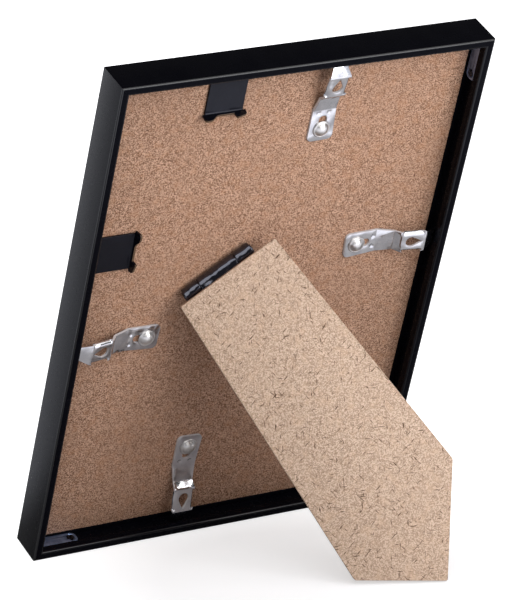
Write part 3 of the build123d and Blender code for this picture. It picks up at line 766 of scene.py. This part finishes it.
# Hinge board leaf: sheet steel, lacquered glossy black, with its two fingers curled round the pin. It
# lies on the board under the strut, set at a slant so that the strut props the frame upright or sideways.
AXIS_RIGHT, AXIS_UP, AXIS_SLANT = -29.05, 1.75, 35.7
BARREL_R, LEAF_T, LEAF_LENGTH, LEAF_CORNER_R, LEAF_EDGE = 2.6, 0.8, 19.0, 2.5, 0.22
HINGE_START, HINGE_END = 3.294, 29.794
KNUCKLE_1, KNUCKLE_2, KNUCKLE_GAP, KNUCKLE_RELIEF = 9.283, 23.593, 0.25, 3.1
HINGE_AIR = 0.03
CURL, CURL_SPACING = radians(318), 0.36
ALONG_AXIS = Matrix(((0, 1, 0, 0), (1, 0, 0, 0), (0, 0, 1, 0), (0, 0, 0, 1)))
hinge_place = laid(AXIS_RIGHT, AXIS_UP, BOARD_FACE, AXIS_SLANT)
axis_place = hinge_place @ Matrix.Translation((0, 0, BARREL_R + HINGE_AIR))
hinge_black = lacquer("hinge_gloss_black", tint(7, 7, 13), tint(11, 11, 18), rough=(0.08, 0.13),
                      specular=1.0, peel=0.15, wave=0.45)


def leaf(fingers):
    """Leaf drawn from its far end toward the axis, with fingers curled up round the axis at the origin."""
    curl_r = BARREL_R - LEAF_T
    root, end = LEAF_LENGTH - KNUCKLE_RELIEF, LEAF_LENGTH + curl_r * CURL
    corners = [(0, HINGE_START), (root, HINGE_START)]
    for first, last in fingers:
        corners += [(root, first), (end, first), (end, last), (root, last)]
    corners += [(root, HINGE_END), (0, HINGE_END)]
    # A finger at a side of the leaf runs straight on from it, so the two corners at its root fall away.
    corners = [corner for corner in corners if corners.count(corner) == 1]
    bm = blank(corners, {0: LEAF_CORNER_R, len(corners) - 1: LEAF_CORNER_R})
    line = ([(LEAF_LENGTH, CURL, curl_r)], None, 0.0, (-LEAF_LENGTH, -curl_r))
    bend_sheet(bm, line, LEAF_T, CURL_SPACING)
    bmesh.ops.transform(bm, matrix=ALONG_AXIS, verts=bm.verts[:])
    return bm


two_fingers = leaf([(HINGE_START, KNUCKLE_1 - KNUCKLE_GAP), (KNUCKLE_2 + KNUCKLE_GAP, HINGE_END)])
board_leaf = fit(two_fingers, "board_leaf", hinge_black, "frame",
                 ["hinge_board_leaf"], axis_place)
soften(board_leaf, LEAF_EDGE)

# Hinge pin: a plain steel pin through the three knuckles, lacquered black with the hinge. It stands a
# little proud of the barrel, and its ends are peened round so that it stays in.
PIN_R, PIN_SIDES, PIN_PROUD, PIN_ROUND = 1.72, 40, 0.4, 0.35


def pin():
    """Pin along x between the barrel's ends, a little proud of them."""
    bm = rod(PIN_R, HINGE_END - HINGE_START + 2 * PIN_PROUD, PIN_SIDES)
    ends = [e for e in bm.edges if abs(e.verts[0].co.z - e.verts[1].co.z) < CLOSE]
    round_off(bm, ends, PIN_ROUND, steps=3)
    through = Matrix.Translation(((HINGE_START + HINGE_END) / 2, 0, 0)) @ Matrix.Rotation(pi / 2, 4, "Y")
    bmesh.ops.transform(bm, matrix=through, verts=bm.verts[:])
    return bm


fit(pin(), "hinge_barrel_pin", hinge_black, "frame", ["hinge_pin"], axis_place)

# Hinge rivets: three black round head rivets that hold the leaf to the board, hidden under the strut
# when it is folded.
TACK_HEAD_R, TACK_HEAD_H, TACK_RIM, TACK_SHANK_R, TACK_SIDES = 1.7, 0.65, 0.15, 0.85, 20
TACK_INSET, TACK_NEAR, TACK_FAR = 4.5, 6.5, 14.5
TACKS = ((HINGE_START + TACK_INSET, -TACK_NEAR), (HINGE_END - TACK_INSET, -TACK_NEAR),
         ((HINGE_START + HINGE_END) / 2, -TACK_FAR))


def tacks(seat, depth, turn):
    """Three round heads on a leaf, with their shanks into what carries it."""
    bm = bmesh.new()
    for x, y in TACKS:
        one = dome(TACK_HEAD_R, TACK_HEAD_H, TACK_RIM, [(TACK_HEAD_R, 0), (0, 0)])
        join(one, rod(TACK_SHANK_R, depth, TACK_SIDES), Matrix.Translation((0, 0, -depth / 2)))
        join(bm, one, Matrix.Translation((x, y, seat)) @ Matrix.Rotation(turn, 4, "X"))
    return bm


leaf_rivets = tacks(LEAF_T, LEAF_T + BOARD_T, 0)
fit(leaf_rivets, "board_leaf_rivets", hinge_black, "frame", ["hinge_rivets"], hinge_place,
    DOME_SOFT_ANGLE)

# Hinge strut leaf: the other half of the hinge, black like the first, with one wide finger curled round
# the pin. It lies under the strut, which is tacked to it.
OPENING = radians(40.5)
strut_place = axis_place @ Matrix.Rotation(-OPENING, 4, "X")
one_finger = leaf([(KNUCKLE_1, KNUCKLE_2)])
bmesh.ops.scale(one_finger, vec=(1, 1, -1), verts=one_finger.verts[:])
strut_leaf = fit(one_finger, "strut_leaf", hinge_black, "strut",
                 ["hinge_strut_leaf"], strut_place)
soften(strut_leaf, LEAF_EDGE)

# Strut tacks: three short steel tacks with round heads, lacquered black. They are driven up through the
# strut leaf and end inside the hardboard, so the strut's outer face stays whole.
TACK_DEPTH = 1.5
strut_tacks = tacks(BARREL_R - LEAF_T, LEAF_T + TACK_DEPTH, pi)
fit(strut_tacks, "strut_leaf_tacks", hinge_black, "strut", ["strut_tacks"], strut_place,
    DOME_SOFT_ANGLE)

# Strut: a beige hardboard panel that flares from the hinge to a foot with two edges, one for each way
# the frame stands. It is sawn to shape, and its faces show short dark fibres.
STRUT_T, STRUT_TOP_W, STRUT_START, STRUT_FLARE = 2.5, 37.6, 1.3, tan(radians(3.3))
STRUT_LEFT, STRUT_RIGHT, STRUT_TOE = 107.317, 94.086, (18.351, 125.682)
STRUT_CORNER_R, STRUT_EDGE = 0.6, 0.22


def strut_panel():
    """Strut with the hinge axis at its top: x across it, y back along it, z outward."""
    bm = bmesh.new()
    corners = [
        (-STRUT_START * STRUT_FLARE, -STRUT_START),
        (STRUT_TOP_W + STRUT_START * STRUT_FLARE, -STRUT_START),
        (STRUT_TOP_W + STRUT_RIGHT * STRUT_FLARE, -STRUT_RIGHT), (STRUT_TOE[0], -STRUT_TOE[1]),
        (-STRUT_LEFT * STRUT_FLARE, -STRUT_LEFT),
    ]
    face = bm.faces.new([bm.verts.new((x, y, BARREL_R)) for x, y in corners])
    draw_out(bm, [face], (0, 0, STRUT_T), keep=True)
    upright = [e for e in bm.edges if abs(e.verts[0].co.z - e.verts[1].co.z) > STRUT_T / 2]
    round_off(bm, upright, STRUT_CORNER_R, steps=4)
    around = [e for e in bm.edges if abs(e.verts[0].co.z - e.verts[1].co.z) < CLOSE]
    round_off(bm, around, STRUT_EDGE)
    return bm


beige_board = hardboard("beige_hardboard", tint(219, 194, 174), tint(195, 168, 147), tint(158, 131, 110),
                        warm=tint(208, 176, 150), fleck=tint(92, 68, 50), fleck_clip=(0.692, 0.752),
                        rough=(0.5, 0.66))
fit(strut_panel(), "strut_board", beige_board, "strut", ["strut_panel"], strut_place)

# Floor: a plain white table top, large enough to fill the view. It glows white to the camera, less so
# round the foot, where the soft shadow of the frame and its strut lies, and in metal and glass it glows
# only well in front of the frame and behind it.
FLOOR_HALF = 6.0
FLOOR_WHITE, FLOOR_ROUGHNESS = tint(194, 194, 197), 0.8
WHITE, COOL_WHITE = (1, 1, 1, 1), (0.86, 0.89, 1.0, 1)
FOOT, NEAR, FAR, NEAR_GLOW = (0.0, 0.02, 0.0), 0.045, 0.12, 0.56
DIM_TO, BRIGHT_FROM = 0.07, 0.125
floor_mesh = bpy.data.meshes.new("floor")
bm = bmesh.new()
bmesh.ops.create_grid(bm, x_segments=1, y_segments=1, size=FLOOR_HALF)
bm.to_mesh(floor_mesh)
bm.free()
floor = bpy.data.objects.new("floor", floor_mesh)
bpy.context.scene.collection.objects.link(floor)
floor_white = bpy.data.materials.new("floor_white")
floor_white.use_nodes = True
tree = floor_white.node_tree
rays = add(tree, "LightPath").outputs
to_camera = rays["Is Camera Ray"]
spot = add(tree, "TexCoord").outputs["Object"]
from_foot = add(tree, "VectorMath", {0: spot, 1: FOOT}, operation="DISTANCE").outputs["Value"]
seen = reckon(tree, "MULTIPLY", to_camera, spread(tree, from_foot, (NEAR, FAR), (NEAR_GLOW, 1.0)))
in_shine = reckon(tree, "MAXIMUM", rays["Is Glossy Ray"], rays["Is Transmission Ray"])
aside = reckon(tree, "ABSOLUTE", add(tree, "SeparateXYZ", {0: spot}).outputs["Y"])
glow = reckon(tree, "MULTIPLY_ADD", in_shine, spread(tree, aside, (DIM_TO, BRIGHT_FROM)), seen)
feed(tree.nodes["Principled BSDF"], {
    "Base Color": FLOOR_WHITE, "Roughness": FLOOR_ROUGHNESS, "Specular IOR Level": 0.0,
    "Emission Color": blend_colour(tree, to_camera, COOL_WHITE, WHITE), "Emission Strength": glow})
floor_mesh.materials.append(floor_white)

# Studio light: soft boxes behind the frame, low on its right and high on its left, a wide panel above on
# the right, and a soft box in front that lights the picture side. The room gives a weak even light, and
# is white to the camera alone.
WORLD_LEVEL = 0.1
LAMPS = (
    ("right_soft_box", (-0.12, 0.385, 0.213), (0.32, 0.24), 1.3),
    ("upper_left_soft_box", (0.405, 0.558, 0.666), (0.55, 0.55), 2.5),
    ("upper_right_panel", (-0.4, 0.37, 0.7), (0.6, 0.6), 2.0),
    ("front_soft_box", (0.0, -1.0, 0.3), (0.6, 0.6), 11.0),
)
LAMP_AIM = Vector((0, 0, 0.09))
world = bpy.data.worlds.new("studio")
world.use_nodes = True
room = world.node_tree
to_camera = add(room, "LightPath").outputs["Is Camera Ray"]
level = reckon(room, "MULTIPLY_ADD", to_camera, 1 - WORLD_LEVEL, WORLD_LEVEL)
feed(room.nodes["Background"], {"Color": WHITE, "Strength": level})
bpy.context.scene.world = world
for name, place, size, power in LAMPS:
    box = bpy.data.lights.new(name, "AREA")
    box.energy = power
    box.shape = "RECTANGLE"
    box.size, box.size_y = size
    lamp = bpy.data.objects.new(name, box)
    lamp.visible_camera = False
    bpy.context.scene.collection.objects.link(lamp)
    facing = (Vector(place) - LAMP_AIM).to_track_quat("Z", "Y").to_matrix().to_4x4()
    lamp.matrix_world = Matrix.Translation(place) @ facing

# Camera: behind the frame, above it and to its left, at the place and with the lens that the
# photograph's own lines give. They were solved for a frame 190 mm high.
PHOTO_WIDTH = 512
FOCAL_PX = 4120.2
SOLVED_HEIGHT = 190.0
EYE = Vector((-660.3, 765.8, 926.1)) * (2 * HALF_H / SOLVED_HEIGHT)
SIGHT = Matrix((
    (0.86533533, 0.17628805, 0.4691666),
    (-0.14247143, -0.81095952, 0.56749145),
    (0.48051708, -0.55791323, -0.67663591),
))
SENSOR, SIGHT_END = 36.0, 20.0
turned = STAND.to_3x3().normalized()
across, down, ahead = (turned @ SIGHT[i] for i in range(3))
camera = bpy.data.objects.new("camera", bpy.data.cameras.new("camera"))
bpy.context.scene.collection.objects.link(camera)
facing = Matrix((across, -down, -ahead)).transposed().to_4x4()
camera.matrix_world = Matrix.Translation(STAND @ EYE) @ facing
camera.data.sensor_fit = "HORIZONTAL"
camera.data.sensor_width = SENSOR
camera.data.lens = SENSOR * FOCAL_PX / PHOTO_WIDTH
camera.data.clip_end = SIGHT_END
bpy.context.scene.camera = camera

bpy.context.scene.view_settings.view_transform = "Standard"
